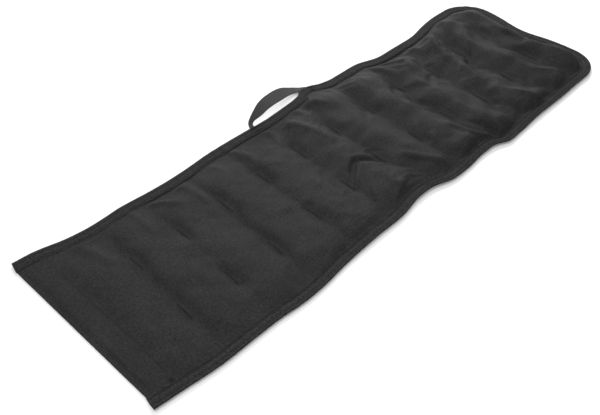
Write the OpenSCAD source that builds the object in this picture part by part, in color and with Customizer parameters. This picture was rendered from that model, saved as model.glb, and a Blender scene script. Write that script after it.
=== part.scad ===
// Quilted padded mat with bound edges and a webbing carry handle, which folds in three.
// +X runs along the mat from the closed near end to the rounded far end, +Y points at the
// edge that carries the handle, and +Z is up. The origin is the middle of the underside.

/* [Mat] */
// Length over everything, near end to far end
mat_l = 1220; // [1190:10:1260]
// Width over both bindings
mat_w = 380; // [320:10:460]
// Radius of the two far corners
corner_r = 75; // [50:5:90]
// Thickness of the cover cloth
cloth_t = 0.8; // [0.5:0.1:1.2]

/* [Quilting] */
// Distance between two rows of tacks
row_pitch = 97; // [92:1:99]
// Height of the first channel's padding, at the near end
near_crown = 11; // [9:1:16]
// Height of the last channel's padding, at the far end
far_crown = 25; // [18:1:30]
// Height of the padding where a row of tacks pinches it
pinch_h = 6; // [4:0.5:8]
// Length of one tack across the mat
tack_l = 38; // [25:1:50]
// Width of one tack
tack_w = 3; // [2:0.5:4]

/* [Binding] */
// Width of the folded tape seen from above
tape_w = 22; // [16:1:25]
// Thickness of the tape
tape_t = 1.2; // [0.8:0.1:1.6]
// Height of the bound edge's lower cloth above the floor
edge_z = 5; // [4:0.5:7]
// Length of tape turned over at each near corner
turn_l = 10; // [6:1:14]

/* [Handle] */
// Distance between the handle's two sewn ends
handle_span = 176; // [140:2:190]
// Height of the handle's arch over its ends
handle_rise = 27; // [20:1:34]
// Width of the handle webbing
strap_w = 25; // [20:1:30]
// Thickness of the handle webbing
strap_t = 1.6; // [1.2:0.1:2.2]

/* [Hidden] */
$fn = 96;

near_x = -mat_l / 2;
far_x = mat_l / 2;
half_w = mat_w / 2;
inner_y = half_w - tape_w;         // inner edge of the long bindings
inner_x = far_x - tape_w;          // inner edge of the far binding
pad_inset = tape_w + cloth_t + 0.2; // padding stops short of the tape by its own cover
lift_run = 18;                     // run over which the underside lifts to the edge
sky = 90;                          // above every solid

// Rows across the mat: row 0 is the closing seam, and the others are rows of tacks
rows = 12;
function row_x(k) = near_x + row_pitch / 2 + k * row_pitch;
function crown_h(k) = near_crown + (far_crown - near_crown) * k / (rows - 1);
tack_y = mat_w / 6;                // two tacks to a row, at a third of the width

// The mat folds beside two of its rows, which stay with the middle
near_fold_row = 4;
far_fold_row = 8;
fold_clear = 4;
fold_gap = 0.5;
near_fold_x = row_x(near_fold_row) - fold_clear;
far_fold_x = row_x(far_fold_row) + fold_clear;

flange_z = edge_z + 2 * cloth_t;   // upper face of the two cloths at the edge
tape_low = edge_z - tape_t;
tape_top = flange_z + tape_t;
thread_t = 0.4;                    // how far a thread stands out of the cloth
thread_w = 1;
seam_inset = tape_w - 3.5;         // from the mat's edge to the tape's seam
strap_gap = 0.7;                   // between the bound edge and the loop of the strap
foot_l = 26;                       // length of each sewn end of the strap

cloth_colour = [0.13, 0.13, 0.135];
tape_colour = [0.16, 0.16, 0.165];
thread_colour = [0.06, 0.06, 0.065];
padding_colour = [0.85, 0.85, 0.82];
webbing_colour = [0.2, 0.2, 0.205];

// ---- outlines and limits ----

// Plan of the mat with its far corners rounded, drawn in from the edge on three sides
module plan(inset, corner_sides) {
    r = corner_r - inset;
    y = half_w - inset;
    x = far_x - inset;
    translate([near_x, -y]) square([x - r - near_x, 2 * y]);
    translate([near_x, -(y - r)]) square([x - near_x, 2 * (y - r)]);
    for (side = [-1, 1]) translate([x - r, side * (y - r)]) circle(r, $fn = corner_sides);
}

module plan_block(inset, low, high, corner_sides = $fn) {
    translate([0, 0, low]) linear_extrude(high - low) plan(inset, corner_sides);
}

module x_slice(from, to) {
    translate([from, -mat_w, -sky]) cube([to - from, 2 * mat_w, 3 * sky]);
}

module near_part() {
    intersection() { children(); x_slice(2 * near_x, near_fold_x - fold_gap); }
}

module middle_part() {
    intersection() { children(); x_slice(near_fold_x + fold_gap, far_fold_x - fold_gap); }
}

module far_part() {
    intersection() { children(); x_slice(far_fold_x + fold_gap, 2 * far_x); }
}

module one_side(side) {
    intersection() {
        children();
        translate([2 * near_x, side > 0 ? 0 : -mat_w, -sky]) cube([4 * far_x, mat_w, 2 * sky]);
    }
}

// A profile across the mat, given as [y, z] points, drawn along the whole mat
module along_mat(points) {
    rotate([90, 0, 90])
        translate([0, 0, 2 * near_x]) linear_extrude(4 * far_x) polygon(points);
}

// A profile along the mat, given as [x, z] points, drawn across the whole mat
module across_mat(points) {
    rotate([90, 0, 0])
        translate([0, 0, -mat_w]) linear_extrude(2 * mat_w) polygon(points);
}

// ---- the quilted body ----

// Everything above the underside, which is flat inside and lifts to the bound edges
module above_bottom(lift) {
    edge = edge_z + lift;
    flat_r = corner_r - tape_w - lift_run;
    x = far_x - corner_r;
    y = half_w - corner_r;
    intersection() {
        along_mat([
            [-mat_w, edge], [-inner_y, edge], [lift_run - inner_y, lift],
            [inner_y - lift_run, lift], [inner_y, edge], [mat_w, edge],
            [mat_w, sky], [-mat_w, sky]
        ]);
        x_slice(2 * near_x, x);
    }
    intersection() {
        across_mat([
            [2 * near_x, lift], [inner_x - lift_run, lift], [inner_x, edge],
            [2 * far_x, edge], [2 * far_x, sky], [2 * near_x, sky]
        ]);
        translate([2 * near_x, -y, -sky]) cube([4 * far_x, 2 * y, 3 * sky]);
    }
    for (side = [-1, 1])
        translate([x, side * y, 0])
            rotate_extrude()
                polygon([
                    [0, lift], [flat_r, lift], [corner_r - tape_w, edge],
                    [2 * corner_r, edge], [2 * corner_r, sky], [0, sky]
                ]);
}

// One channel's crown, an arch across the mat between rows k and k + 1
module crown(k, grow) {
    x0 = row_x(k);
    x1 = k == rows - 1 ? inner_x : row_x(k + 1);
    half_chord = (x1 - x0) / 2;
    drop = crown_h(k) - pinch_h;
    r = (pow(half_chord, 2) + pow(drop, 2)) / (2 * drop);
    intersection() {
        translate([(x0 + x1) / 2, 0, crown_h(k) + grow - r])
            rotate([90, 0, 0]) cylinder(r = r, h = 2 * mat_w, center = true, $fn = 240);
        x_slice(x0 - grow, x1 + grow);
    }
}

// The crowns' rounded fall to the two long bindings
module side_fall(grow) {
    y = half_w - pad_inset + grow;
    along_mat([
        [-y, -1], [y, -1],
        [y, flange_z + grow], [y - 7, 17 + grow], [y - 20, 23 + grow], [y - 40, 27 + grow],
        [40 - y, 27 + grow], [20 - y, 23 + grow], [7 - y, 17 + grow], [-y, flange_z + grow]
    ]);
}

// Everything under the crowns. grow thickens it by the cloth over it.
module dome(grow) {
    intersection() {
        plan_block(pad_inset - grow, -1, sky, 12);
        side_fall(grow);
        union() for (k = [0 : rows - 1]) crown(k, grow);
    }
}

// A cloth that follows the underside, between two heights over it
module floor_cloth(from, to) {
    difference() {
        intersection() { above_bottom(from); plan_block(tape_t, -sky, sky); }
        above_bottom(to);
    }
}

// The two tacks of row k
module tack_pair(k, low, high) {
    straight = tack_l - tack_w;
    for (side = [-1, 1])
        translate([row_x(k), side * tack_y, low]) {
            translate([-tack_w / 2, -straight / 2, 0]) cube([tack_w, straight, high - low]);
            for (end = [-1, 1])
                translate([0, end * straight / 2, 0]) cylinder(d = tack_w, h = high - low);
        }
}

module tack_rows(first, last) {
    color(thread_colour)
        for (k = [first : last]) tack_pair(k, 0, pinch_h + cloth_t + thread_t);
}

module with_thread_holes() {
    difference() {
        children();
        for (k = [1 : rows - 1]) tack_pair(k, -1, sky);
        bartacks();
    }
}

module padding() {
    color(padding_colour)
        with_thread_holes()
            intersection() { above_bottom(cloth_t); dome(0); }
}

module bottom_cover() {
    color(cloth_colour) with_thread_holes() floor_cloth(0, cloth_t);
}

module top_cover() {
    color(cloth_colour)
        with_thread_holes()
            difference() {
                union() {
                    intersection() { above_bottom(cloth_t); dome(cloth_t); }
                    floor_cloth(cloth_t, 2 * cloth_t);
                }
                dome(0);
            }
}

// ---- seams across the near end ----

// A thread on the upper cloth, straight across the mat
module cross_seam(x) {
    color(thread_colour)
        intersection() {
            floor_cloth(2 * cloth_t, 2 * cloth_t + thread_t);
            translate([x - thread_w / 2, -inner_y, 0]) cube([thread_w, 2 * inner_y, sky]);
        }
}

module closing_seam() {
    cross_seam(row_x(0) - 3);
}

module end_topstitch() {
    cross_seam(near_x + 8);
}

// ---- binding ----

// The tape folded round the two long edges and the far end, turned over at the near corners
module tape() {
    color(tape_colour)
        difference() {
            union() {
                plan_block(0, tape_low, tape_top);
                intersection() {
                    plan_block(0, tape_top, tape_top + tape_t);
                    x_slice(near_x, near_x + turn_l);
                }
            }
            plan_block(tape_t, edge_z, flange_z);
            translate([0, 0, -1]) plan_block(tape_w, 0, sky);
            bartacks();
        }
}

// The tape's seam, one thread on its upper face and one on its lower face
module tape_seam() {
    color(thread_colour)
        for (low = [tape_top, tape_low - thread_t])
            difference() {
                plan_block(seam_inset - thread_w / 2, low, low + thread_t);
                plan_block(seam_inset + thread_w / 2, -1, sky);
                x_slice(2 * near_x, near_x + turn_l + 1);
            }
}

// ---- carry handle ----

// The strap's two sewn ends, flat under the rear binding
module handle_ends() {
    foot_w = seam_inset - thread_w;
    color(webbing_colour)
        difference() {
            for (side = [-1, 1])
                translate([side * handle_span / 2 - foot_l / 2, half_w - foot_w, tape_low - strap_t])
                    cube([foot_l, foot_w, strap_t]);
            bartacks();
        }
}

// Two bartacks through the bound edge at each sewn end
module bartacks() {
    bar_l = 12;
    bar_w = 2;
    low = tape_low - strap_t;
    for (side = [-1, 1], offset = [-8, 8])
        translate([side * handle_span / 2 + offset - bar_w / 2, half_w - bar_l - 3, low])
            cube([bar_w, bar_l, tape_top + thread_t - low]);
}

module handle_bartacks() {
    color(thread_colour) bartacks();
}

// The loop of webbing, an arch along the edge that stands out from it by the strap's width
module handle_strap() {
    r = (pow(handle_span / 2, 2) + pow(handle_rise, 2)) / (2 * handle_rise);
    base_z = tape_top + thread_t + strap_gap;
    color(webbing_colour)
        intersection() {
            translate([0, half_w + strap_gap, base_z + handle_rise - r])
                rotate([-90, 0, 0])
                    difference() {
                        cylinder(r = r, h = strap_w, $fn = 240);
                        translate([0, 0, -1]) cylinder(r = r - strap_t, h = strap_w + 2, $fn = 240);
                    }
            translate([-handle_span / 2, half_w, base_z]) cube([handle_span, 2 * strap_w, sky]);
        }
}

near_part() top_cover();  // near_top_cover
near_part() bottom_cover();  // near_bottom_cover
near_part() padding();  // near_padding
near_part() one_side(1) tape();  // near_rear_binding
near_part() one_side(-1) tape();  // near_front_binding
near_part() tape_seam();  // near_binding_seams
tack_rows(1, near_fold_row - 1);  // near_tacks
closing_seam();
end_topstitch();
middle_part() top_cover();  // middle_top_cover
middle_part() bottom_cover();  // middle_bottom_cover
middle_part() padding();  // middle_padding
middle_part() one_side(1) tape();  // middle_rear_binding
middle_part() one_side(-1) tape();  // middle_front_binding
middle_part() tape_seam();  // middle_binding_seams
tack_rows(near_fold_row, far_fold_row);  // middle_tacks
handle_ends();
handle_bartacks();
handle_strap();
far_part() top_cover();  // far_top_cover
far_part() bottom_cover();  // far_bottom_cover
far_part() padding();  // far_padding
far_part() tape();  // far_binding
far_part() tape_seam();  // far_binding_seams
tack_rows(far_fold_row + 1, rows - 1);  // far_tacks
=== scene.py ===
"""Quilted padded mat with bound edges, rows of tacks and a webbing carry handle.

The covers are simulated as cloth over padding, then everything else is laid on them:
binding tape, seams, tacks, the strap and its sewn ends. All lengths are in metres."""
import math

import bpy
import numpy as np
from mathutils import Matrix, Vector


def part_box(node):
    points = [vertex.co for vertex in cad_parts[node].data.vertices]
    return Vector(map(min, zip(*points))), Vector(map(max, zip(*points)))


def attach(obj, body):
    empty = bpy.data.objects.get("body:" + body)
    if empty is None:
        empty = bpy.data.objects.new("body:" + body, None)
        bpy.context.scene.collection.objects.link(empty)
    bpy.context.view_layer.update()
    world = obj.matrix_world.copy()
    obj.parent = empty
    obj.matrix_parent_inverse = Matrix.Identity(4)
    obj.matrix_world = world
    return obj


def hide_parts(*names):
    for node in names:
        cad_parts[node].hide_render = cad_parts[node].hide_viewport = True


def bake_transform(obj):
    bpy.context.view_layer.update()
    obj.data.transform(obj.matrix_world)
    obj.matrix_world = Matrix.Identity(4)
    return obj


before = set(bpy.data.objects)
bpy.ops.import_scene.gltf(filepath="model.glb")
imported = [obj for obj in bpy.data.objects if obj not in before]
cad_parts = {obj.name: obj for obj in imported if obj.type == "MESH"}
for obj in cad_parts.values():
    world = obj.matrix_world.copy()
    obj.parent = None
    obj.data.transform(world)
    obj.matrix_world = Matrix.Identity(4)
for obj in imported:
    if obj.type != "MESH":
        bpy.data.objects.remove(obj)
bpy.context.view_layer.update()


def add_object(name, data):
    """A new object in the scene."""
    obj = bpy.data.objects.new(name, data)
    bpy.context.scene.collection.objects.link(obj)
    return obj


# ---- camera

CAMERA_AT = (-0.889, -0.751, 0.986)
CAMERA_LOOKS = (0.507, 0.502, -0.701)
CAMERA_ROLL = math.radians(-0.65)

camera_data = bpy.data.cameras.new("camera")
camera_data.sensor_width = 36
camera_data.lens = 47.4
camera_data.clip_start = 0.01
camera_data.clip_end = 50
camera = add_object("camera", camera_data)
forward = Vector(CAMERA_LOOKS).normalized()
level = forward.cross(Vector((0, 0, 1))).normalized()
upright = level.cross(forward)
right = level * math.cos(CAMERA_ROLL) - upright * math.sin(CAMERA_ROLL)
up = upright * math.cos(CAMERA_ROLL) + level * math.sin(CAMERA_ROLL)
camera.matrix_world = Matrix((
    (right.x, up.x, -forward.x, CAMERA_AT[0]),
    (right.y, up.y, -forward.y, CAMERA_AT[1]),
    (right.z, up.z, -forward.z, CAMERA_AT[2]),
    (0, 0, 0, 1),
))
bpy.context.scene.camera = camera

# ---- sizes, from the frame

NEAR_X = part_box("near_bottom_cover")[0][0]
FAR_X, HALF_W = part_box("far_binding")[1][:2]
TAPE_W = 0.0225
# how far in from the edge the tape's lips, its seam, and the edges of the covers and the batts lie
LIP_IN, SEAM_IN, COVER_IN, BATT_IN = 0.0226, 0.019, 0.011, 0.026
PITCH = 0.097
ROWS = 12
ROW_X = [NEAR_X + PITCH / 2 + k * PITCH for k in range(ROWS)]
TACK_Y = 2 * HALF_W / 6
TACK_L = 0.038
CORNER_R = 0.075
# Two tacks to a row, as (row, x, y). In the near rows the front ones stand a little off the row.
TACKS = []
for row in range(1, ROWS):
    TACKS.append((row, ROW_X[row] - (0.006 if row < 4 else 0), -TACK_Y - (0.009 if row < 5 else 0)))
    TACKS.append((row, ROW_X[row], TACK_Y))
# where the closing seam ends in a knot
KNOT = (-0.566, -0.164)
EDGE_Z = 0.0036
FLAT_Z = 0.004
CLOTH_T = 0.0007
# the two covers are each made in two halves that meet here, because a piece bends at one fold only
SPLIT_X = ROW_X[6]
HEM_X = NEAR_X + 0.0085
# how far in from the long edges the seams that cross the mat begin
BETWEEN_TAPES = 0.0245
NOISE_SIZE = 64


def smooth_noise(x, y, cell, seed, octaves=2):
    """Smooth noise of about unit size over the plane, with bumps about one cell wide."""
    total, weight = np.zeros(np.broadcast(x, y).shape), 0.0
    for octave in range(octaves):
        table = np.random.default_rng(seed + 101 * octave).standard_normal((NOISE_SIZE, NOISE_SIZE))
        size = cell / 2 ** octave
        # the shifts keep the table's corner, where the noise starts again, away from the mat's middle
        u, v = np.asarray(x) / size + 20.3, np.asarray(y) / size + 30.7
        i, j = np.floor(u).astype(int), np.floor(v).astype(int)
        a, b = u - i, v - j
        a, b = a * a * (3 - 2 * a), b * b * (3 - 2 * b)
        i, j, i1, j1 = (n % NOISE_SIZE for n in (i, j, i + 1, j + 1))
        part = (table[i, j] * (1 - a) * (1 - b) + table[i1, j] * a * (1 - b)
                + table[i, j1] * (1 - a) * b + table[i1, j1] * a * b)
        share = 0.5 ** octave
        total, weight = total + part * share, weight + share
    return total / weight


def ease(t):
    """A smooth step from 0 to 1."""
    t = np.clip(t, 0, 1)
    return t * t * (3 - 2 * t)


def between(grid, i, j):
    """The grid's values at places between its points, where whole numbers are the points."""
    i0 = np.clip(np.floor(i).astype(int), 0, grid.shape[0] - 2)
    j0 = np.clip(np.floor(j).astype(int), 0, grid.shape[1] - 2)
    a, b = (i - i0)[..., None], (j - j0)[..., None]
    front = grid[i0, j0] * (1 - a) + grid[i0 + 1, j0] * a
    rear = grid[i0, j0 + 1] * (1 - a) + grid[i0 + 1, j0 + 1] * a
    return front * (1 - b) + rear * b


def running_length(points):
    """How far along a line of points each of them lies."""
    steps = np.linalg.norm(np.diff(np.asarray(points, float), axis=0), axis=1)
    return np.concatenate([[0], np.cumsum(steps)])


# ---- the wavy outline

# How far each bound edge wanders outward from straight, as (x, outward, lift), where the
# puffed channels and the carry handle pull on it.
REAR_WAVES = [
    (-0.61, 0.0014, 0.0), (-0.57, -0.0016, 0.0), (-0.52, -0.0128, 0.0), (-0.48, -0.0173, 0.0),
    (-0.4, -0.0148, 0.0), (-0.34, -0.0193, 0.001), (-0.28, -0.0188, 0.001), (-0.2, -0.0123, 0.001),
    (-0.12, -0.0118, 0.001), (-0.05, -0.0128, 0.001), (0.0, -0.0088, 0.001), (0.036, -0.0043, 0.001),
    (0.05, -0.0008, 0.001), (0.062, 0.008, 0.001), (0.074, 0.0105, 0.001), (0.088, 0.0075, 0.001),
    (0.112, -0.0028, 0.001), (0.13, -0.0068, 0.001), (0.17, -0.0088, 0.002), (0.22, -0.0098, 0.002),
    (0.27, -0.0248, 0.003), (0.32, -0.0253, 0.003), (0.4, -0.0228, 0.003), (0.44, -0.0128, 0.002),
    (0.48, -0.0058, 0.001), (0.54, -0.0038, 0.001), (0.61, -0.0048, 0.001),
]
FRONT_WAVES = [
    (-0.61, 0.002, 0.0), (-0.56, 0.006, 0.0), (-0.5, 0.0115, 0.0), (-0.42, 0.011, 0.0),
    (-0.38, 0.011, 0.0), (-0.32, 0.0145, 0.0), (-0.28, 0.013, 0.0), (-0.22, 0.006, 0.0),
    (-0.14, 0.001, 0.001), (-0.06, -0.0015, 0.001), (-0.01, -0.01, 0.002), (0.03, -0.0095, 0.002),
    (0.075, 0.0025, 0.001), (0.12, 0.003, 0.0), (0.18, -0.0015, 0.001), (0.215, 0.001, 0.002),
    (0.24, 0.011, 0.001), (0.28, 0.011, 0.0), (0.34, 0.007, 0.001), (0.44, 0.0053, 0.001),
    (0.52, 0.0025, 0.001), (0.61, 0.002, 0.001),
]


def smooth_curve(knots, values, at):
    """A smooth curve through the values at the knots, read at the given places. Each value may be
    one number or a row of them."""
    slope = np.gradient(values, knots, axis=0)
    k = np.clip(np.searchsorted(knots, at) - 1, 0, len(knots) - 2)
    h = knots[k + 1] - knots[k]
    t = np.clip((at - knots[k]) / h, 0, 1)
    if values.ndim > 1:
        h, t = h[:, None], t[:, None]
    return ((2 * t**3 - 3 * t**2 + 1) * values[k] + (t**3 - 2 * t**2 + t) * h * slope[k]
            + (3 * t**2 - 2 * t**3) * values[k + 1] + (t**3 - t**2) * h * slope[k + 1])


def waves(points, x):
    """How far the edge wanders outward at x, and how far it lifts."""
    px, outward, lift = np.array(points).T
    return smooth_curve(px, outward, x), smooth_curve(px, lift, x)


def warp(x, y):
    """Where a point of the flat plan lies once the edges wander, and how far the edge lifts it."""
    x, y = np.asarray(x, float), np.asarray(y, float)
    rear_share = np.clip((y / HALF_W + 1) / 2, 0, 1)
    front_share = 1 - rear_share
    rear_out, rear_lift = waves(REAR_WAVES, x)
    front_out, front_lift = waves(FRONT_WAVES, x)
    move_y = rear_out * rear_share - front_out * front_share
    # the far end is drawn in a little in its middle
    far = ease((x - 0.4) / 0.21)
    move_x = far * (0.0022 - 0.014 * np.exp(-((y - 0.012) / 0.058) ** 2) - 0.01 * y)
    # the near end lies slightly askew, and the two ends of the tape are cut at a slant
    near = ease((-0.45 - x) / 0.16)
    tape_share = np.clip((np.abs(y) - HALF_W + LIP_IN) / LIP_IN, 0, 1)
    slant = tape_share * np.where(y > 0, 0.005, -0.004)
    move_x = move_x + near * (-0.025 * y - 0.001 + slant)
    lift = rear_lift * rear_share**2 + front_lift * front_share ** 2
    return x + move_x, y + move_y, lift


def inset(x, y):
    """Distance in from the bound edge of the flat plan, on its three bound sides."""
    cx, cy = FAR_X - CORNER_R, HALF_W - CORNER_R
    dx, dy = x - cx, np.abs(y) - cy
    corner = CORNER_R - np.hypot(np.maximum(dx, 0), np.maximum(dy, 0))
    return np.where((dx > 0) & (dy > 0), corner, np.minimum(FAR_X - x, HALF_W - np.abs(y)))


# ---- cloth simulation

# How high the padding stands in each channel between two rows of tacks, and how deep each
# row is drawn down (1 is all the way), from the near end to the far end.
CHANNELS = [0.0075, 0.01, 0.011, 0.0124, 0.0142, 0.0162, 0.019, 0.0222, 0.0245, 0.026, 0.0268, 0.026]
ROW_DEPTHS = [0.35, 1.25, 0.3, 1.05, 0.6, 0.8, 0.9, 0.95, 1.0, 1.05, 1.05, 0.9]


def far_share(x):
    """0 at the near end, where the padding is thin, and 1 where it is full."""
    return ease((x - NEAR_X) / (0.7 * (FAR_X - NEAR_X)) - 0.16)


def tack_gap(x, y):
    """Distance to the nearest tack."""
    gap = np.full(np.shape(x), 1.0)
    for _, tx, ty in TACKS:
        gap = np.minimum(gap, np.hypot(x - tx, np.maximum(np.abs(y - ty) - TACK_L / 2, 0)))
    return gap


# Folds that cross the rows, as (x0, y0, x1, y1, height, half width). A crease is below 0 in height.
FOLDS = [
    (-0.512, 0.165, -0.488, 0.075, 0.003, 0.009), (-0.404, 0.165, -0.402, 0.1, 0.0026, 0.007),
    (-0.366, 0.16, -0.33, 0.128, 0.0026, 0.006), (-0.296, 0.165, -0.286, 0.085, 0.0036, 0.009),
    (-0.225, 0.16, -0.218, 0.125, 0.0024, 0.007), (-0.166, 0.16, -0.155, 0.105, 0.0034, 0.008),
    (-0.08, 0.16, -0.084, 0.108, 0.0036, 0.008), (-0.036, 0.14, -0.004, 0.03, 0.004, 0.009),
    (0.002, 0.165, 0.012, 0.128, 0.0034, 0.007), (0.04, 0.16, 0.066, 0.12, 0.0046, 0.008),
    (0.108, 0.165, 0.1, 0.11, 0.004, 0.009), (0.16, 0.16, 0.172, 0.115, 0.0032, 0.008),
    (0.224, 0.162, 0.236, 0.1, 0.005, 0.009), (0.29, 0.16, 0.282, 0.09, 0.0046, 0.009),
    (0.345, 0.165, 0.35, 0.12, 0.003, 0.007), (0.4, 0.15, 0.372, 0.095, 0.0046, 0.009),
    (0.47, 0.165, 0.45, 0.11, 0.0034, 0.009), (0.538, 0.165, 0.545, 0.1, 0.003, 0.009),
    (0.548, 0.03, 0.54, -0.04, 0.003, 0.008), (0.505, -0.15, 0.462, -0.1, 0.0036, 0.009),
    (0.395, -0.16, 0.362, -0.1, 0.004, 0.009), (0.25, -0.165, 0.262, -0.105, 0.0046, 0.007),
    (0.222, -0.168, 0.185, -0.092, 0.005, 0.007), (0.096, -0.15, 0.058, -0.09, 0.0044, 0.008),
    (0.14, -0.086, 0.12, -0.1, 0.003, 0.007), (-0.01, -0.15, -0.01, -0.1, 0.0038, 0.008),
    (-0.07, -0.15, -0.05, -0.105, 0.003, 0.008), (-0.2, -0.165, -0.175, -0.12, 0.0024, 0.009),
    (0.016, -0.072, -0.022, -0.04, -0.0075, 0.0065), (-0.022, -0.04, -0.056, -0.06, -0.006, 0.006),
    (-0.292, -0.12, -0.308, -0.172, -0.003, 0.007), (-0.086, -0.005, -0.1, -0.06, -0.0036, 0.008),
    (0.236, -0.168, 0.226, -0.11, -0.005, 0.006), (0.33, -0.165, 0.31, -0.09, -0.0036, 0.007),
    (-0.569, -0.171, -0.563, -0.156, -0.0045, 0.008), (0.206, 0.07, 0.18, 0.02, -0.0036, 0.008),
    (0.112, 0.06, 0.08, 0.02, -0.0036, 0.008), (0.3, 0.055, 0.262, 0.02, -0.0036, 0.007),
]


def folds(x, y):
    """How far the folds and creases raise the padding."""
    total = np.zeros(np.shape(x))
    for x0, y0, x1, y1, height, width in FOLDS:
        length = math.hypot(x1 - x0, y1 - y0)
        ax, ay = (x1 - x0) / length, (y1 - y0) / length
        along = (x - x0) * ax + (y - y0) * ay
        bow = 0.004 * np.sin(np.pi * np.clip(along / length, 0, 1)) * math.copysign(1, height)
        off = (x - x0) * -ay + (y - y0) * ax - bow
        ends = ease((along + 0.01) / 0.02) * ease((length + 0.022 - along) / 0.04)
        total = total + height * ends * np.exp(-(off / width) ** 2)
    return total


def padding_height(x, y):
    """How high the padding would stand with no cloth on it."""
    full = far_share(x)
    # which channel a point is in, how far along that channel's width, and where its crest stands
    crest_at = 0.36 + 0.25 * full
    wander = smooth_noise(x, y, 0.09, 51)
    towards_front = 0.006 * ease(-y / 0.07) * ease((-0.2 - x) / 0.06)
    t = (x + towards_front - ROW_X[0]) / PITCH + (0.05 + 0.15 * full) * wander * ease(tack_gap(x, y) / 0.05)
    k = np.clip(np.floor(t).astype(int), 0, ROWS - 1)
    phase = np.clip(t - k, 0, 1)
    high = np.array(CHANNELS)
    far_edge_depth = 0.4
    drawn = np.array(ROW_DEPTHS + [far_edge_depth])
    row_low = np.concatenate([[high[0]], (high[1:] + high[:-1]) / 2, [high[-1]]]) * (1 - 0.62 * drawn)
    # the crown is a soft arch, or a sharper tent in places in the full half
    soft = np.sin(np.pi * phase ** (math.log(0.5) / np.log(crest_at))) ** 0.9
    tent = np.minimum((phase / crest_at) ** 0.85, ((1 - phase) / (1 - crest_at)) ** 0.95)
    sharp = full * ease(0.5 + 0.5 * smooth_noise(x, y, 0.08, 77))
    crown = soft * (1 - sharp) + tent * sharp
    valley = row_low[k] * (1 - phase) + row_low[k + 1] * phase
    height = valley + (high[k] - valley) * crown
    height = height * (1 + (0.06 + 0.09 * full) * smooth_noise(x, y, 0.065, 21))
    height = height * (1 - (0.46 - 0.26 * full) * np.exp(-(tack_gap(x, y) / 0.012) ** 2))
    # it slopes down to the tape, more gently at the rear and at the far end
    depth = inset(x, y) - TAPE_W + 0.002
    rear_or_far = np.maximum(ease((y + 0.02) / 0.1), ease((x - 0.5) / 0.04) * ease((y + 0.15) / 0.06))
    reach = (0.05 - 0.02 * full + 0.022 * rear_or_far) * (1.25 - 0.4 * crown)
    reach = reach + 0.004 * smooth_noise(x, y, 0.05, 61)
    shoulder = np.sin(np.pi / 2 * np.clip(depth / reach, 0, 1)) ** (0.9 + 0.45 * rear_or_far)
    before_seam = ease((x - ROW_X[0] + 0.004) / 0.03)
    height = FLAT_Z + (height - FLAT_Z) * shoulder * before_seam + folds(x, y) * ease(depth / 0.008)
    lumps = (0.0008 + 0.0006 * full) * smooth_noise(x, y, 0.032, 71) * ease(depth / 0.02)
    return np.maximum(height + lumps, 0.0034)


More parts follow.
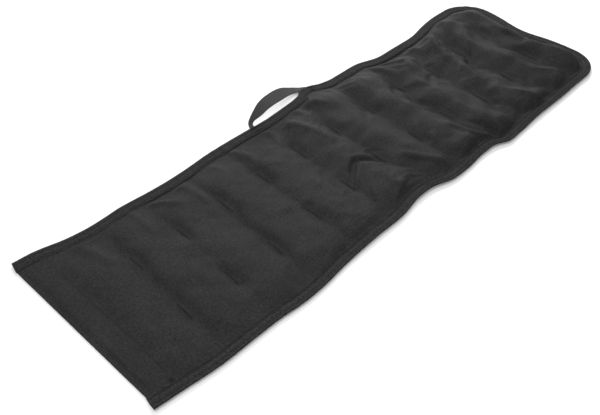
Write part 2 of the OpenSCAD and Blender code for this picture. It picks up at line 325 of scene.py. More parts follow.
class Cloth:
    """The upper cover as a grid of points, simulated over padding and held at the binding,
    the tacks and the closing seam."""

    def __init__(self, step):
        nx = int(round((FAR_X - NEAR_X) / step)) + 1
        ny = int(round(2 * HALF_W / step)) + 1
        along_x, across_y = np.linspace(NEAR_X, FAR_X, nx), np.linspace(-HALF_W, HALF_W, ny)
        self.x, self.y = np.meshgrid(along_x, across_y, indexing="ij")
        self.hx, self.hy = self.x[1, 0] - self.x[0, 0], self.y[0, 1] - self.y[0, 0]
        depth = inset(self.x, self.y)
        full = far_share(self.x)
        px, py, lift = warp(self.x, self.y)
        # the rim that the tape holds, the turned end and the closing seam
        rim = depth < TAPE_W - 0.0015
        end = self.x < NEAR_X + 0.01
        seam = np.abs(self.x - ROW_X[0]) < 0.51 * self.hx
        z = EDGE_Z + lift * np.ones_like(px)
        z = np.where(end & ~rim, 0.0024 + 0.0012 * ease((np.abs(self.y) - 0.13) / 0.04), z)
        z = np.where(seam & ~rim, FLAT_Z, z)
        # tacks pull the cloth down in short lines
        tack = np.zeros_like(rim)
        for _, tx, ty in TACKS:
            tack |= (np.abs(self.x - tx) < 0.51 * self.hx) & (np.abs(self.y - ty) < TACK_L / 2)
        z = np.where(tack, 0.0042 + 0.0042 * full + 0.0036 * ease((self.x - 0.33) / 0.15), z)
        knot = np.hypot(self.x - KNOT[0], self.y - KNOT[1]) < 0.0035
        z = np.where(knot, 0.003, z)
        self.held = rim | end | seam | tack | knot
        self.fill = padding_height(self.x, self.y)
        start = 0.5 * self.fill + 0.5 * EDGE_Z + 0.0012 * smooth_noise(self.x, self.y, 0.035, 91) * full
        z = np.where(self.held, z, np.maximum(start, 0.0035))
        self.pos = np.stack([px, py, z], axis=-1)
        self.move = (~self.held)[..., None].astype(float)
        # spare cloth: enough to pass over the padding, and some more that wrinkles
        spare = 0.0003 + 0.009 * full
        rise_x = np.gradient(self.fill, axis=0) / self.hx
        rise_y = np.gradient(self.fill, axis=1) / self.hy
        near_rear = ease((self.y / HALF_W - 0.45) / 0.3)
        spare_x = spare * (1 + 0.8 * smooth_noise(self.x, self.y, 0.11, 3) + 2.5 * near_rear)
        spare_y = spare * (0.3 + 0.5 * smooth_noise(self.x, self.y, 0.13, 8))
        along = 1 + 0.9 * (np.sqrt(1 + rise_x ** 2) - 1) + spare_x
        across = 1 + 0.75 * (np.sqrt(1 + rise_y ** 2) - 1) + spare_y
        rest_x = self.hx * along
        rest_y = self.hy * across
        self.rest_x = (rest_x[1:] + rest_x[:-1]) / 2
        self.rest_y = (rest_y[:, 1:] + rest_y[:, :-1]) / 2
        self.rest_d = np.hypot((rest_x[1:, 1:] + rest_x[:-1, :-1]) / 2,
                               (rest_y[1:, 1:] + rest_y[:-1, :-1]) / 2)
        self.last = self.pos.copy()

    def refine(self, step):
        """The same cloth on a finer grid."""
        finer = Cloth(step)
        i = np.linspace(0, self.pos.shape[0] - 1, finer.pos.shape[0])
        j = np.linspace(0, self.pos.shape[1] - 1, finer.pos.shape[1])
        finer.pos = np.where(finer.held[..., None], finer.pos, between(self.pos, i[:, None], j[None, :]))
        finer.last = finer.pos.copy()
        return finer

    def pull(self, a, b, rest, give, firm):
        """Moves the two ends of a set of threads towards their rest length."""
        pa, pb = self.pos[a], self.pos[b]
        d = pb - pa
        length = np.sqrt((d * d).sum(-1))
        over = length - rest
        share = np.where(over > 0, firm, give) * over / np.maximum(length, 1e-9)
        wa, wb = self.move[a][..., 0], self.move[b][..., 0]
        share = share / np.maximum(wa + wb, 1)
        shift = d * share[..., None]
        self.pos[a] += shift * self.move[a]
        self.pos[b] -= shift * self.move[b]

    def threads(self, give):
        """The sets of threads, each of which touches a point only once."""
        every, early, late = slice(None), slice(None, -1), slice(1, None)
        slack = 0.3
        sets = []
        for first in (0, 1):
            start, end = slice(first, -1, 2), slice(first + 1, None, 2)
            slanted = self.rest_d[first::2]
            sets.append(((start,), (end,), self.rest_x[first::2], give, 1.0))
            sets.append(((every, start), (every, end), self.rest_y[:, first::2], give, 1.0))
            sets.append(((start, early), (end, late), slanted, give * slack, slack))
            sets.append(((start, late), (end, early), slanted, give * slack, slack))
        return sets

    def bends(self, cells, stiff):
        """The threads that resist bending, over that many cells."""
        every, step = slice(None), 2 * cells
        sets = []
        long_x = sum(self.rest_x[i: self.rest_x.shape[0] - cells + 1 + i] for i in range(cells))
        long_y = sum(self.rest_y[:, i: self.rest_y.shape[1] - cells + 1 + i] for i in range(cells))
        for first in range(step):
            start, end = slice(first, -cells, step), slice(first + cells, None, step)
            sets.append(((start,), (end,), long_x[first::step], stiff, 0))
            sets.append(((every, start), (every, end), long_y[:, first::step], stiff, 0))
        return sets

    def run(self, steps, give, stiff, push, keep=0.9):
        """Simulates the cloth: the padding pushes it up, and its own weight holds it down."""
        threads = self.threads(give)
        for cells, amount in stiff:
            threads += self.bends(cells, amount)
        for _ in range(steps):
            speed = (self.pos - self.last) * keep
            self.last = self.pos.copy()
            du = np.zeros_like(self.pos)
            dv = np.zeros_like(self.pos)
            du[1:-1] = self.pos[2:] - self.pos[:-2]
            dv[:, 1:-1] = self.pos[:, 2:] - self.pos[:, :-2]
            normal = np.cross(du, dv)
            normal /= np.maximum(np.linalg.norm(normal, axis=-1, keepdims=True), 1e-12)
            short = self.fill - self.pos[..., 2]
            short = np.where(short > 0, short, 0.25 * short)
            self.pos += (speed + normal * (push * short)[..., None]) * self.move
            for a, b, rest, amount, firm in threads:
                self.pull(a, b, rest, amount, firm)
            self.pos[..., 2] = np.where(self.held, self.pos[..., 2], np.maximum(self.pos[..., 2], 0.003))


def simulate():
    """The upper cover, simulated on a coarse grid and then on finer ones."""
    cloth = Cloth(0.0097)
    cloth.run(240, 0.15, [(2, 0.15)], 0.04)
    cloth = cloth.refine(0.0052)
    cloth.run(160, 0.15, [(2, 0.12), (3, 0.06)], 0.05)
    cloth = cloth.refine(0.0032)
    cloth.run(120, 0.15, [(2, 0.12), (4, 0.05)], 0.05)
    return cloth


cloth = simulate()

# ---- materials


class Nodes:
    """A material's node tree, with short ways to add and join nodes."""

    def __init__(self, name):
        self.material = bpy.data.materials.new(name)
        self.material.use_nodes = True
        self.tree = self.material.node_tree
        self.tree.nodes.clear()
        out = self.add("ShaderNodeOutputMaterial")
        self.shader = self.add("ShaderNodeBsdfPrincipled")
        self.feed(out, {"Surface": self.shader.outputs["BSDF"]})
        self.uv = self.add("ShaderNodeUVMap", uv_map="flat").outputs["UV"]

    def add(self, kind, **settings):
        node = self.tree.nodes.new(kind)
        for key, value in settings.items():
            setattr(node, key, value)
        return node

    def feed(self, node, values):
        """Gives each of the node's inputs its value, or joins it to the output given for it."""
        for name, value in values.items():
            if hasattr(value, "is_linked"):
                self.tree.links.new(value, node.inputs[name])
            else:
                node.inputs[name].default_value = value
        return node.outputs

    def math(self, operation, *values):
        return self.feed(self.add("ShaderNodeMath", operation=operation), dict(enumerate(values)))[0]

    def product(self, *values):
        total = values[0]
        for value in values[1:]:
            total = self.math("MULTIPLY", total, value)
        return total

    def ribs(self, across, pitch):
        """Rounded ridges, one to a pitch, from 0 in the furrows to 1 on top."""
        return self.math("ABSOLUTE", self.math("SINE", self.product(across, math.pi / pitch)))

    def split(self):
        return self.feed(self.add("ShaderNodeSeparateXYZ"), {0: self.uv})[:2]

    def noise(self, scale, detail=2.0, rough=0.5):
        node = self.add("ShaderNodeTexNoise", noise_dimensions="2D")
        values = {"Vector": self.uv, "Scale": scale, "Detail": detail, "Roughness": rough}
        return self.feed(node, values)["Fac"]

    def ramp(self, fac, low_at, low_value, high_at, high_value):
        """low_value where fac is low_at, high_value where it is high_at, and even between them."""
        values = {"Value": fac, "From Min": low_at, "From Max": high_at,
                  "To Min": low_value, "To Max": high_value}
        return self.feed(self.add("ShaderNodeMapRange", clamp=True), values)[0]

    def tint(self, colour, brightness):
        node = self.add("ShaderNodeVectorMath", operation="SCALE")
        return self.feed(node, {0: colour, "Scale": brightness})[0]

    def bump(self, height, distance, strength, after=None):
        values = {"Height": height, "Distance": distance, "Strength": strength}
        if after is not None:
            values["Normal"] = after
        return self.feed(self.add("ShaderNodeBump"), values)[0]

    def finish(self, colour, rough, normal, specular, sheen=0.0):
        self.feed(self.shader, {"Base Color": colour, "Roughness": rough, "Normal": normal,
                                "Sheen Weight": sheen, "Specular IOR Level": specular})
        return self.material


def weave_height(n, pitch):
    """A plain weave: each yarn bows up over every other one that it crosses."""
    u, v = n.split()
    wave_u, wave_v = (n.math("SINE", n.product(yarn, math.pi / pitch)) for yarn in (u, v))
    up_side = n.math("GREATER_THAN", n.product(wave_u, wave_v), 0.0)
    warp_yarns = n.product(n.ribs(u, pitch), up_side)
    weft_yarns = n.product(n.ribs(v, pitch), n.math("SUBTRACT", 1.0, up_side))
    return n.math("ADD", warp_yarns, weft_yarns)


def cloth_material():
    n = Nodes("cover_cloth")
    weave = weave_height(n, 0.0007)
    grain = n.noise(520, 3, 0.6)
    slubs = n.noise(230, 2, 0.6)
    # the colour is darker in the gaps between the weave's yarns and lighter on them: painted shade in the
    # gaps; grain, slubs and patches are tone at random
    brightness = n.product(
        n.ramp(weave, 0, 0.74, 1, 1.1),
        n.ramp(grain, 0.3, 0.62, 0.7, 1.42),
        n.ramp(n.noise(14, 3, 0.55), 0.3, 0.9, 0.7, 1.12),
        n.ramp(n.noise(48, 2, 0.5), 0.3, 0.92, 0.7, 1.08),
        n.ramp(slubs, 0.3, 0.72, 0.7, 1.3))
    normal = n.bump(weave, 0.00018, 0.7)
    normal = n.bump(slubs, 0.0004, 0.35, normal)
    normal = n.bump(n.noise(70, 3, 0.6), 0.0012, 0.35, normal)
    return n.finish(n.tint((0.017, 0.017, 0.0172), brightness), n.ramp(grain, 0.3, 0.6, 0.7, 0.74), normal,
                    specular=0.09)


def tape_material():
    n = Nodes("binding_tape")
    u, v = n.split()
    ribs, across = n.ribs(u, 0.0011), n.ribs(v, 0.0005)
    wear = n.noise(45, 3, 0.6)
    bands = n.math("SINE", n.math("ADD", n.product(v, math.tau / 0.0098), 0.9))
    # the colour is darker in the furrows between the ribs and between the lengthwise bands, and lighter on
    # them: painted shade in the furrows; wear and the fine noise are tone at random
    brightness = n.product(
        n.ramp(ribs, 0, 0.7, 0.8, 1.12),
        n.ramp(wear, 0.3, 0.88, 0.7, 1.14),
        n.ramp(bands, -1, 0.76, 1, 1.13),
        n.ramp(n.noise(300, 3, 0.65), 0.33, 0.48, 0.67, 1.56))
    normal = n.bump(ribs, 0.0003, 0.8)
    normal = n.bump(across, 0.00008, 0.5, normal)
    normal = n.bump(bands, 0.0003, 0.4, normal)
    normal = n.bump(n.noise(110, 2, 0.5), 0.0007, 0.4, normal)
    return n.finish(n.tint((0.02, 0.02, 0.0203), brightness), n.ramp(wear, 0.3, 0.7, 0.7, 0.85), normal,
                    specular=0.08)


def webbing_material():
    n = Nodes("webbing")
    u, v = n.split()
    zigzag = n.product(n.math("PINGPONG", v, 0.0031), 1 / 0.0016)
    herring = n.ribs(n.math("ADD", n.product(u, 1 / 0.0024), zigzag), 1)
    picks_and_cords = n.math("ADD", n.ribs(u, 0.0012), n.ribs(v, 0.0021))
    height = n.math("ADD", n.product(herring, 0.6), n.product(picks_and_cords, 0.35))
    grain = n.noise(700, 2, 0.6)
    # the band is painted darker at its selvedges, where v comes round to the band's width and its thickness:
    # painted shade on the rounded edges
    brightness = n.product(
        # darker in the furrows of the herringbone and cords and lighter on the raised yarns: painted shade
        # in the furrows
        n.ramp(height, 0.1, 0.62, 1.2, 1.15),
        n.ramp(grain, 0.3, 0.85, 0.7, 1.15),
        n.ramp(n.ribs(v, 0.0253), 0.0, 0.45, 0.25, 1.0))
    normal = n.bump(height, 0.00035, 0.9)
    return n.finish(n.tint((0.082, 0.082, 0.0838), brightness), n.ramp(grain, 0.3, 0.7, 0.7, 0.85), normal,
                    specular=0.0)


def thread_material():
    n = Nodes("thread")
    u, v = n.split()
    turn = n.math("ADD", n.product(u, math.pi / 0.0006), n.product(v, math.pi * 2))
    twist = n.math("ABSOLUTE", n.math("SINE", turn))
    normal = n.bump(twist, 0.00012, 0.7)
    # the thread is darker in the grooves of its twist and lighter on its crests: painted shade in the
    # grooves
    colour = n.tint((0.008, 0.008, 0.0081), n.ramp(twist, 0, 0.6, 1, 1.25))
    return n.finish(colour, 0.5, normal, specular=0.12)


def padding_material():
    n = Nodes("batting")
    fluff = n.noise(400, 5, 0.7)
    normal = n.bump(fluff, 0.002, 0.9)
    colour = n.tint((0.8, 0.8, 0.76), n.ramp(fluff, 0.3, 0.78, 0.7, 1.05))
    return n.finish(colour, 0.95, normal, sheen=0.3, specular=0.1)


CLOTH, TAPE, WEBBING, THREAD, BATTING = (
    cloth_material(), tape_material(), webbing_material(), thread_material(), padding_material())

# ---- mesh helpers


def make_mesh(name, points, faces, uv, material, normals=None):
    """A smooth mesh object. uv is one (u, v) for each point, in metres of flat cloth."""
    mesh = bpy.data.meshes.new(name)
    mesh.from_pydata([tuple(p) for p in points], [], [tuple(int(i) for i in f) for f in faces])
    mesh.update()
    layer = mesh.uv_layers.new(name="flat")
    loops = np.zeros(len(mesh.loops), np.int32)
    mesh.loops.foreach_get("vertex_index", loops)
    layer.data.foreach_set("uv", np.asarray(uv, np.float32)[loops].ravel())
    mesh.shade_smooth()
    if normals is not None:
        mesh.normals_split_custom_set_from_vertices([tuple(v) for v in normals])
    mesh.materials.append(material)
    return add_object(name, mesh)


def grid_faces(index, closed_across=False):
    """Quads over a grid of point numbers, where -1 is no point."""
    if closed_across:
        index = np.concatenate([index, index[:, :1]], axis=1)
    a, b, c, d = index[:-1, :-1], index[1:, :-1], index[1:, 1:], index[:-1, 1:]
    quads = np.stack([a, b, c, d], axis=-1).reshape(-1, 4)
    return quads[(quads >= 0).all(axis=1)]


def tube(name, points, uv, material, turned=False):
    """A closed tube through rows of points, one row to a ring, with both its ends filled."""
    index = np.arange(points.shape[0] * points.shape[1]).reshape(points.shape[:2])
    faces = list(grid_faces(index, closed_across=True)) + [index[0][::-1], index[-1]]
    if turned:
        faces = [face[::-1] for face in faces]
    return make_mesh(name, points.reshape(-1, 3), faces, uv.reshape(-1, 2), material)


def kept_faces(keep):
    """Quads over the marked grid points, and which of those points a quad uses."""
    index = np.full(keep.shape, -1)
    index[keep] = np.arange(keep.sum())
    faces = grid_faces(index)
    used = np.zeros(keep.sum(), bool)
    used[faces.ravel()] = True
    return (np.cumsum(used) - 1)[faces], used


def two_sided(faces, count):
    """The given faces, the same ones on the sheet's other side, and the edge between the two."""
    sides = np.concatenate([faces[:, [k, (k + 1) % 4]] for k in range(4)])
    forth, back = sides[:, 0] * count + sides[:, 1], sides[:, 1] * count + sides[:, 0]
    rim = sides[~np.isin(forth, back)]
    rim_faces = np.stack([rim[:, 1], rim[:, 0], rim[:, 0] + count, rim[:, 1] + count], axis=1)
    return np.concatenate([faces, faces[:, ::-1] + count, rim_faces])


def grid_normals(points):
    du, dv = np.gradient(points, axis=0), np.gradient(points, axis=1)
    n = np.cross(du, dv)
    return n / np.maximum(np.linalg.norm(n, axis=-1, keepdims=True), 1e-12)


def shell(name, outer, keep, uv, normals, flip=False):
    """A cover as a closed sheet of cloth: its outer face, its inner face and the edge between."""
    faces, used = kept_faces(keep)
    if flip:
        faces = faces[:, ::-1]
    points, uvs, n = outer[keep][used], uv[keep][used], normals[keep][used]
    return make_mesh(name, np.concatenate([points, points - n * CLOTH_T]), two_sided(faces, len(points)),
                     np.concatenate([uvs, uvs]), CLOTH, np.concatenate([n, -n]))


def on_grid(x, y, grid):
    """The value that one of the cloth's grids, of places or normals, has over the flat plan."""
    return between(grid, (x - NEAR_X) / cloth.hx, (y + HALF_W) / cloth.hy)


def bend_with(obj):
    """Bakes the piece's place into its mesh."""
    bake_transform(obj)


# ---- the covers and the padding

top = cloth.pos
top_n = grid_normals(top)
flat_uv = np.stack([cloth.x, cloth.y], axis=-1)
depth = inset(cloth.x, cloth.y)
covered = depth > COVER_IN

# the bottom cover lies on the floor, and rises to the binding at its edges
bottom = top.copy()
rise = 1 - ease((depth - 0.014) / 0.03)
dimple = 0.0016 * np.exp(-(tack_gap(cloth.x, cloth.y) / 0.006) ** 2)
ripple = 0.0009 * np.maximum(0, 1 + smooth_noise(cloth.x, cloth.y, 0.045, 33))
hem_flat = ease((cloth.x - NEAR_X - 0.03) / 0.04)
at_edge = rise * np.clip(top[..., 2] - 0.0026, 0, 0.0014)
in_middle = (dimple + ripple) * (1 - rise) * hem_flat
bottom[..., 2] = np.minimum(0.0008 + at_edge + in_middle, top[..., 2] - 0.0008)
bottom_n = -grid_normals(bottom)

pieces = {}
# both halves share the line of points that is nearest the split
split_row = np.argmin(np.abs(cloth.x[:, 0] - SPLIT_X))
for half, rows in (("a", slice(split_row + 1)), ("b", slice(split_row, None))):
    keep = np.zeros(covered.shape, bool)
    keep[rows] = covered[rows]
    pieces["top_" + half] = shell("top_cover_" + half, top, keep, flat_uv, top_n)
    pieces["bottom_" + half] = shell("bottom_cover_" + half, bottom, keep, flat_uv, bottom_n, flip=True)

# the padding is a batt between the covers, in two lengths that meet under a row of tacks


def batt(name, first_x, last_x):
    """A crowned closed pad that fills the space between the covers, with air at its edges and
    none of it where the tacks press the covers together."""
    x, y = np.meshgrid(np.linspace(first_x, last_x, int((last_x - first_x) / 0.0065)),
                       np.linspace(-HALF_W + BATT_IN, HALF_W - BATT_IN, 60), indexing="ij")
    inside = inset(x, y)
    over, under = on_grid(x, y, top), on_grid(x, y, bottom)
    # each point keeps clear of the covers over the width of a cell all round it
    around = (-0.008, -0.004, 0, 0.004, 0.008)
    for dx in around:
        for dy in around:
            over[..., 2] = np.minimum(over[..., 2], on_grid(x + dx, y + dy, top)[..., 2])
            under[..., 2] = np.maximum(under[..., 2], on_grid(x + dx, y + dy, bottom)[..., 2])
    ends = np.minimum(x - first_x, last_x - x)
    thin = ease(np.clip(np.minimum(inside - 0.025, ends + 0.004) / 0.014, 0.02, 1))
    middle = (over + under) / 2
    room = (over - under)[..., 2]
    half_z = np.maximum(room / 2 - 0.0013, 0.0001) * thin
    lift = np.stack([0 * x, 0 * x, half_z], axis=-1)
    keep = (inside > BATT_IN - 0.0005) & (room > 0.0022)
    faces, used = kept_faces(keep)
    upper, lower = (middle + lift)[keep][used], (middle - lift)[keep][used]
    uv = np.stack([x, y], axis=-1)[keep][used]
    return make_mesh(name, np.concatenate([upper, lower]), two_sided(faces, len(upper)),
                     np.concatenate([uv, uv]), BATTING)


pieces["batt_a"] = batt("batting_a", ROW_X[0] + 0.003, SPLIT_X - 0.001)
pieces["batt_b"] = batt("batting_b", SPLIT_X + 0.001, FAR_X - BATT_IN)

# ---- the outline and its binding


def outline(step):
    """Points along the bound edge of the flat plan with the outward direction at each, from the
    near rear corner round the far end to the near front corner."""
    cx, cy = FAR_X - CORNER_R, HALF_W - CORNER_R

    def straight(x0, y0, x1, y1, count, out_x, out_y, endpoint=False):
        x, y = (np.linspace(a, b, count, endpoint=endpoint) for a, b in ((x0, x1), (y0, y1)))
        return np.stack([x, y, np.full(count, out_x), np.full(count, out_y)], 1)

    def corner(side, start, end):
        t = np.linspace(start, end, int(CORNER_R * math.pi / 2 / step), endpoint=False)
        out_x, out_y = np.cos(t), np.sin(t)
        return np.stack([cx + CORNER_R * out_x, side * cy + CORNER_R * out_y, out_x, out_y], 1)

    long_count = int((cx - NEAR_X) / step)
    path = np.concatenate([
        straight(NEAR_X, HALF_W, cx, HALF_W, long_count, 0.0, 1.0),
        corner(1, math.pi / 2, 0),
        straight(FAR_X, cy, FAR_X, -cy, int(2 * cy / step), 1.0, 0.0),
        corner(-1, 0, -math.pi / 2),
        straight(cx, -HALF_W, NEAR_X, -HALF_W, long_count + 1, 0.0, -1.0, endpoint=True),
    ])
    return path, running_length(path[:, :2])


PATH, PATH_AT = outline(0.0025)
REAR_END = int(np.argmax(PATH[:, 0] >= SPLIT_X))
FRONT_START = len(PATH) - int(np.argmax(PATH[::-1, 0] >= SPLIT_X)) - 1


def on_edge(i, depth_in, rise_by):
    """The place of a point that far in from path point i and that far above the edge."""
    x, y, ox, oy = PATH[i].T if np.ndim(i) else PATH[i]
    px, py, lift = warp(x - ox * depth_in, y - oy * depth_in)
    return np.stack([px, py, EDGE_Z + lift + rise_by], axis=-1)


# The folded tape in section, as (how far in from the edge, height): over the top from the inner
# lip to the rim, and back underneath
TAPE_PROFILE = [
    (LIP_IN, 0.0), (0.0229, 0.0003), (0.0224, 0.0007), (0.019, 0.001), (0.015, 0.0014),
    (0.01, 0.0016), (0.0055, 0.0014), (0.0022, 0.0008), (0.0004, -0.0002), (0.0, -0.0012),
    (0.0006, -0.0022), (0.003, -0.0029), (0.009, -0.0032), (0.016, -0.0032), (0.0215, -0.003),
    (LIP_IN, -0.0024), (0.0215, -0.0016),
]
# The rounding of a tape's cut end: how far along it, and how large the section is there
TAPE_END = [(0.7, 1.0), (0.93, 0.95), (1.0, 0.86)]


def cup(depth_in):
    """How far the bound edge curls up towards its rim."""
    return 0.0014 * max(0.0, 1 - depth_in / 0.013)


def tape_piece(name, first, last, first_extra=0.0, last_extra=0.0, sunk=0.0):
    """The folded tape between two points of the outline, with a rounded end where one is left
    over at the near end of the mat. Its inner edge may be sunk into the cloth."""
    i = np.arange(first, last + 1)
    at = PATH_AT[i]
    wander = 0.0006 * smooth_noise(at, 0 * at, 0.018, 41) + 0.0005 * smooth_noise(at, 0 * at, 0.006, 42)
    wrinkle = 0.0005 * smooth_noise(at, 0 * at + 1, 0.012, 43)
    # the front rim curls up more than the others, and stands out a little
    front_share = ease(-PATH[i, 3])
    curl = 1 + 1.4 * front_share
    rings, uvs = [], []
    for (d, z), run in zip(TAPE_PROFILE, running_length(TAPE_PROFILE)):
        inner = d / LIP_IN
        z_here = z + cup(d) * curl - (sunk * float(ease((d - 0.014) / 0.007)) if z >= 0 else 0)
        depth_in = d + wander * inner + (0.0003 - 0.0017 * front_share) * (1 - inner)
        rings.append(on_edge(i, depth_in, z_here + wrinkle * (1 if z > 0 else 0.3)))
        uvs.append(np.stack([at, np.full_like(at, run)], axis=-1))
    points, uv = np.stack(rings, axis=1), np.stack(uvs, axis=1)
    for extra, end, before in ((first_extra, 0, 1), (last_extra, -1, -2)):
        if extra:
            way = (points[end] - points[before]).mean(axis=0)
            way /= np.linalg.norm(way)
            middle = points[end].mean(axis=0)
            caps = [middle + (points[end] - middle) * size + way * extra * reach for reach, size in TAPE_END]
            step = np.sign(at[end] - at[before])
            cap_uvs = [uv[end] + [step * extra * reach, 0] for reach, _ in TAPE_END]
            if end == 0:
                points, uv = np.concatenate([caps[::-1], points]), np.concatenate([cap_uvs[::-1], uv])
            else:
                points, uv = np.concatenate([points, caps]), np.concatenate([uv, cap_uvs])
    # the tape's section runs the other way round from its length, so each ring is turned
    return tube(name, points, uv, TAPE, turned=True)


pieces["rear_tape"] = tape_piece("rear_binding_a", 0, REAR_END, first_extra=0.0012, sunk=-0.0004)
pieces["front_tape"] = tape_piece("front_binding_a", FRONT_START, len(PATH) - 1,
                                  last_extra=0.0012, sunk=0.0007)
pieces["far_tape"] = tape_piece("far_binding_b", REAR_END, FRONT_START, sunk=-0.0001)

# ---- stitches


# One stitch as rings, each as (place along it, fatness, how far it dives)
STITCH = [(-0.5, 0.25, -0.9), (-0.4, 0.8, -0.15), (-0.2, 1.0, 0.25),
          (0.2, 1.0, 0.25), (0.4, 0.8, -0.15), (0.5, 0.25, -0.9)]
SIDES = 6


def stitches(name, centres, along, upward, length, radius):
    """One mesh of many small stitches: each is a plump thread that dives at both ends."""
    n = len(centres)
    along = along / np.linalg.norm(along, axis=1, keepdims=True)
    side = np.cross(upward, along)
    side /= np.linalg.norm(side, axis=1, keepdims=True)
    upward = np.cross(along, side)
    rings, uvs = [], []
    for t, fat, dive in STITCH:
        for k in range(SIDES):
            a = 2 * math.pi * k / SIDES
            rings.append(centres + along * (t * length) + side * (math.cos(a) * radius * fat)
                         + upward * (math.sin(a) * radius * fat + dive * radius))
            along_uv = np.full(n, t * length) + np.arange(n) * 0.01
            uvs.append(np.stack([along_uv, np.full(n, k / SIDES)], axis=-1))
    points, uv = np.stack(rings, axis=1), np.stack(uvs, axis=1)
    index = np.arange(len(STITCH) * SIDES).reshape(len(STITCH), SIDES)
    one = grid_faces(index, closed_across=True)[:, [0, 3, 2, 1]]
    starts = index.size * np.arange(n)
    faces = [tuple(face) for face in (one[None] + starts[:, None, None]).reshape(-1, 4)]
    for start in starts:
        faces += [tuple(start + index[0][::-1]), tuple(start + index[-1])]
    return make_mesh(name, points.reshape(-1, 3), faces, uv.reshape(-1, 2), THREAD)


def along_edge(at, depth_in, rise_by):
    """Places at those lengths along the outline, that far in from the edge and above it."""
    place = on_edge(np.arange(len(PATH)), depth_in, rise_by)
    return np.stack([np.interp(at, PATH_AT, place[:, axis]) for axis in range(3)], axis=-1)


def along_path(first, last, depth_in, pitch, rise_by):
    """Centres and directions of stitches that follow the outline between two of its points."""
    at = np.arange(PATH_AT[first] + pitch / 2, PATH_AT[last], pitch)
    centres = along_edge(at, depth_in, rise_by)
    return centres, along_edge(at + 0.002, depth_in, rise_by) - centres


def tape_seam(name, first, last, rise_by, upward, radius):
    """The seam along the tape, on the face of the mat that looks upward (1) or down (-1)."""
    centres, ahead = along_path(first, last, SEAM_IN, 0.0034, rise_by)
    return stitches(name, centres, ahead, np.tile([0.0, 0.0, upward], (len(centres), 1)), 0.0029, radius)


# the seams stop a few points short of the tape's two ends
for name, first, last in (("rear_seam_a", 4, REAR_END), ("front_seam_a", FRONT_START, len(PATH) - 5),
                          ("far_seam_b", REAR_END, FRONT_START)):
    pieces[name] = tape_seam(name, first, last, 0.0012, 1.0, 0.00036)
    pieces[name + "_under"] = tape_seam(name + "_under", first, last, -0.003, -1.0, 0.00042)


def sewn(name, x, y, length, radius, sink=0.0):
    """Stitches along Y through both covers at points of the flat plan, seen above and below."""
    x, y = np.asarray(x, float), np.asarray(y, float)
    places, ways, ups = [], [], []
    for grid, normals in ((top, top_n), (bottom, bottom_n)):
        place, upward = on_grid(x, y, grid), on_grid(x, y, normals)
        places.append(place + upward * (radius * 0.3 - sink))
        ways.append(on_grid(x, y + 0.0015, grid) - place)
        ups.append(upward)
    return stitches(name, np.concatenate(places), np.concatenate(ways), np.concatenate(ups), length, radius)


seam_y = np.arange(-HALF_W + BETWEEN_TAPES, HALF_W - BETWEEN_TAPES, 0.0037)
seam_x = np.full_like(seam_y, ROW_X[0])
knot_x, knot_y = np.meshgrid(np.linspace(-0.0026, 0.0026, 5), np.linspace(-0.0022, 0.0022, 3))
seam_x = np.concatenate([seam_x, KNOT[0] + knot_x.ravel()])
seam_y = np.concatenate([seam_y, KNOT[1] + knot_y.ravel() - 0.3 * knot_x.ravel()])
pieces["closing_seam"] = sewn("closing_seam_stitches", seam_x, seam_y, 0.0026, 0.00036, 0.0001)
hem_y = np.arange(-HALF_W + BETWEEN_TAPES, HALF_W - BETWEEN_TAPES, 0.0042)
hem_x = np.full_like(hem_y, HEM_X)
pieces["end_topstitch"] = sewn("end_topstitch_stitches", hem_x, hem_y, 0.0026, 0.00032, 0.0001)

# each tack is two lines of stitches; the rows are shared out between the panels that they ride on
for name, rows in (("near_tacks", range(1, 4)), ("middle_tacks_a", range(4, 7)),
                   ("middle_tacks_b", range(7, 9)), ("far_tacks", range(9, ROWS))):
    xs, ys = [], []
    for tx, ty in (tack[1:] for tack in TACKS if tack[0] in rows):
        for t in np.linspace(-0.5, 0.5, 11):
            for off in (-0.0009, 0.0009):
                xs.append(tx + off)
                ys.append(ty + t * (TACK_L - 0.003) + off)
    pieces[name] = sewn(name + "_stitches", xs, ys, 0.0031, 0.00046)

# ---- the carry handle


def ribbon(name, centre, wide, width, thick, share):
    """A band of webbing along centre points, with its width along wide at each, and rounded
    selvedges. Where it is folded double lengthwise, share of the width is less than 1."""
    centre, wide = np.asarray(centre, float), np.asarray(wide, float)
    ahead = np.gradient(centre, axis=0)
    ahead /= np.linalg.norm(ahead, axis=1, keepdims=True)
    wide = wide - ahead * (wide * ahead).sum(1, keepdims=True)
    wide /= np.linalg.norm(wide, axis=1, keepdims=True)
    face = np.cross(ahead, wide)
    w, t = width / 2, thick / 2
    share = np.asarray(share)[:, None]
    profile = [(-w, 0), (-w * 0.985, t * 0.7), (-w * 0.93, t), (-w * 0.6, t * 0.92), (-w * 0.3, t),
               (0, t * 0.92), (w * 0.3, t), (w * 0.6, t * 0.92), (w * 0.93, t), (w * 0.985, t * 0.7), (w, 0)]
    profile += [(a, -b) for a, b in profile[-2:0:-1]]
    at = running_length(centre)
    rings, uvs = [], []
    for (a, b), run in zip(profile, running_length(profile)):
        rings.append(centre + wide * a * share + face * b * (2.2 - 1.2 * share))
        uvs.append(np.stack([at, np.full_like(at, run)], axis=-1))
    return tube(name, np.stack(rings, axis=1), np.stack(uvs, axis=1), WEBBING)


def smooth_path(points, count):
    """Points along a smooth curve through the given ones, whose first three numbers are a place."""
    p = np.asarray(points, float)
    knots = running_length(p[:, :3])
    return smooth_curve(knots, p, np.linspace(0, knots[-1], count))


STRAP_W, STRAP_T = 0.025, 0.0016
FOOT_X = 0.088
BAR_STITCHES = 13
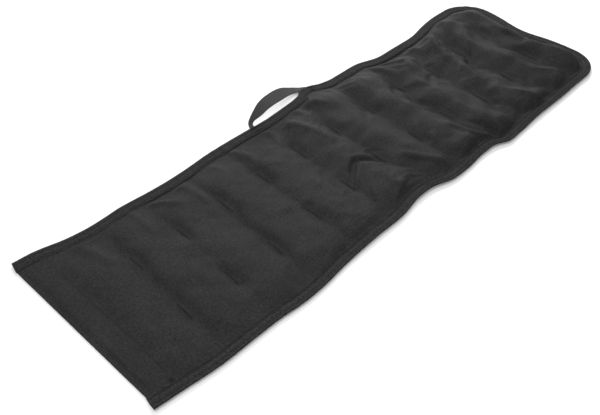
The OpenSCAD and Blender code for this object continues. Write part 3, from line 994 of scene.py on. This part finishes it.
# The strap's centre line, the direction of its width, and the share of the width that shows
# where its feet are folded double lengthwise
STRAP = [
    (-0.088, 0.1665, 0.0038, -1.0, 0.0, 0.0, 0.42), (-0.088, 0.177, 0.0042, -1.0, 0.0, 0.05, 0.42),
    (-0.0862, 0.1842, 0.008, -0.8, 0.2, 0.55, 0.42), (-0.0785, 0.188, 0.014, -0.35, 0.24, 0.88, 0.54),
    (-0.0665, 0.1905, 0.0182, -0.05, 0.34, 0.93, 0.8), (-0.054, 0.1935, 0.0206, 0.0, 0.46, 0.88, 0.98),
    (-0.038, 0.1975, 0.0224, 0.0, 0.6, 0.8, 1.0), (-0.015, 0.201, 0.0225, 0.0, 0.74, 0.67, 1.0),
    (0.008, 0.204, 0.02, 0.05, 0.74, 0.67, 1.0), (0.028, 0.2062, 0.0158, 0.12, 0.8, 0.58, 0.88),
    (0.042, 0.2066, 0.0112, 0.22, 0.84, 0.48, 0.7), (0.055, 0.2052, 0.0076, 0.4, 0.86, 0.3, 0.58),
    (0.068, 0.2008, 0.0052, 0.55, 0.83, 0.0, 0.5), (0.08, 0.1945, 0.0043, 0.75, 0.66, 0.0, 0.44),
    (0.087, 0.1865, 0.0038, 0.92, 0.38, 0.0, 0.42), (0.089, 0.176, 0.0038, 1.0, 0.0, 0.0, 0.42),
]


def foot_bars(name, spots):
    """Bars of close stitches through the tape and a foot of the strap, at (x, half width, depth in)."""
    centres, ways = [], []
    for x, half_width, depth_in in spots:
        at = x - NEAR_X + np.linspace(-half_width, half_width, BAR_STITCHES)
        here, inward = (along_edge(at, d, 0.0019 + cup(d)) for d in (depth_in, depth_in + 0.002))
        zigzag = 0.0007 * (-1.0) ** np.arange(len(at))
        centres.append(here)
        ways.append(inward - here + np.stack([zigzag, 0 * at, 0 * at], axis=-1))
    up_ways = np.tile([0.0, 0.0, 1.0], (BAR_STITCHES * len(spots), 1))
    return stitches(name, np.concatenate(centres), np.concatenate(ways), up_ways, 0.0028, 0.00036)


strap = smooth_path(STRAP, 110)
pieces["strap"] = ribbon("handle_strap_loop", strap[:, :3], strap[:, 3:6], STRAP_W, STRAP_T, strap[:, 6])
pieces["foot_bars"] = foot_bars("handle_foot_bartacks", [
    (x, 0.0055, d) for x in (-FOOT_X, FOOT_X) for d in (0.006, 0.0155)])

# ---- riding on the frame

for key, obj in pieces.items():
    if key == "strap":
        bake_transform(obj)
    elif key in ("near_tacks", "closing_seam", "end_topstitch"):
        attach(obj, "near_panel")
    elif key == "far_tacks":
        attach(obj, "far_panel")
    elif key in ("middle_tacks_a", "middle_tacks_b", "foot_bars"):
        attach(obj, "middle_panel")
    else:
        bend_with(obj)
    # a material may have a number after its name where the frame has one like it; the name without that
    # number is worked out here but not kept
    obj.data.materials[0].name.split(".")[0]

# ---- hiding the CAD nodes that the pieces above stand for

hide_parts("near_top_cover", "middle_top_cover")
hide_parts("near_padding", "middle_padding")
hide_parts("far_top_cover")
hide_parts("far_padding")
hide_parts("near_bottom_cover", "middle_bottom_cover")
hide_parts("far_bottom_cover")
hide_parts("near_rear_binding", "middle_rear_binding")
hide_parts("near_front_binding", "middle_front_binding")
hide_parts("far_binding")
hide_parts("near_binding_seams", "middle_binding_seams")
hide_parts("far_binding_seams")
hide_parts("closing_seam")
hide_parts("end_topstitch")
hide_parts("near_tacks")
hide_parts("middle_tacks")
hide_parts("far_tacks")
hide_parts("handle_strap", "handle_ends")
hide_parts("handle_bartacks")

# ---- floor and light

floor_mesh = bpy.data.meshes.new("floor")
side, low = 8, -0.0002
floor_mesh.from_pydata([(-side, -side, low), (side, -side, low), (side, side, low), (-side, side, low)],
                       [], [(0, 1, 2, 3)])
floor = add_object("floor", floor_mesh)
paper = bpy.data.materials.new("floor")
paper.use_nodes = True
shader = paper.node_tree.nodes["Principled BSDF"]
shader.inputs["Base Color"].default_value = (0.9, 0.9, 0.9, 1)
shader.inputs["Roughness"].default_value = 0.9
shader.inputs["Specular IOR Level"].default_value = 0.0
floor_mesh.materials.append(paper)


def area_light(name, place, size, power, aim=(0, 0, 0)):
    data = bpy.data.lights.new(name, "AREA")
    data.shape = "RECTANGLE"
    data.size, data.size_y = size
    data.energy = power
    obj = add_object(name, data)
    obj.location = place
    obj.rotation_mode = "QUATERNION"
    obj.rotation_quaternion = (Vector(aim) - Vector(place)).to_track_quat("-Z", "Y")


area_light("back_softbox", (1.5, 1.7, 1.7), (1.6, 0.9), 66)
area_light("low_softbox", (2.5, 2.5, 0.62), (2.6, 0.5), 42)
area_light("front_fill", (-1.6, -1.9, 1.3), (2.0, 1.2), 20)
area_light("top_softbox", (-0.7, -0.2, 2.3), (1.8, 1.8), 25, aim=(-0.3, 0, 0))
world = bpy.data.worlds.new("world")
world.use_nodes = True
background = world.node_tree.nodes["Background"].inputs
background["Color"].default_value = (1, 1, 1, 1)
background["Strength"].default_value = 0.49
bpy.context.scene.world = world
bpy.context.scene.view_settings.view_transform = "Standard"
bpy.context.scene.view_settings.look = "None"
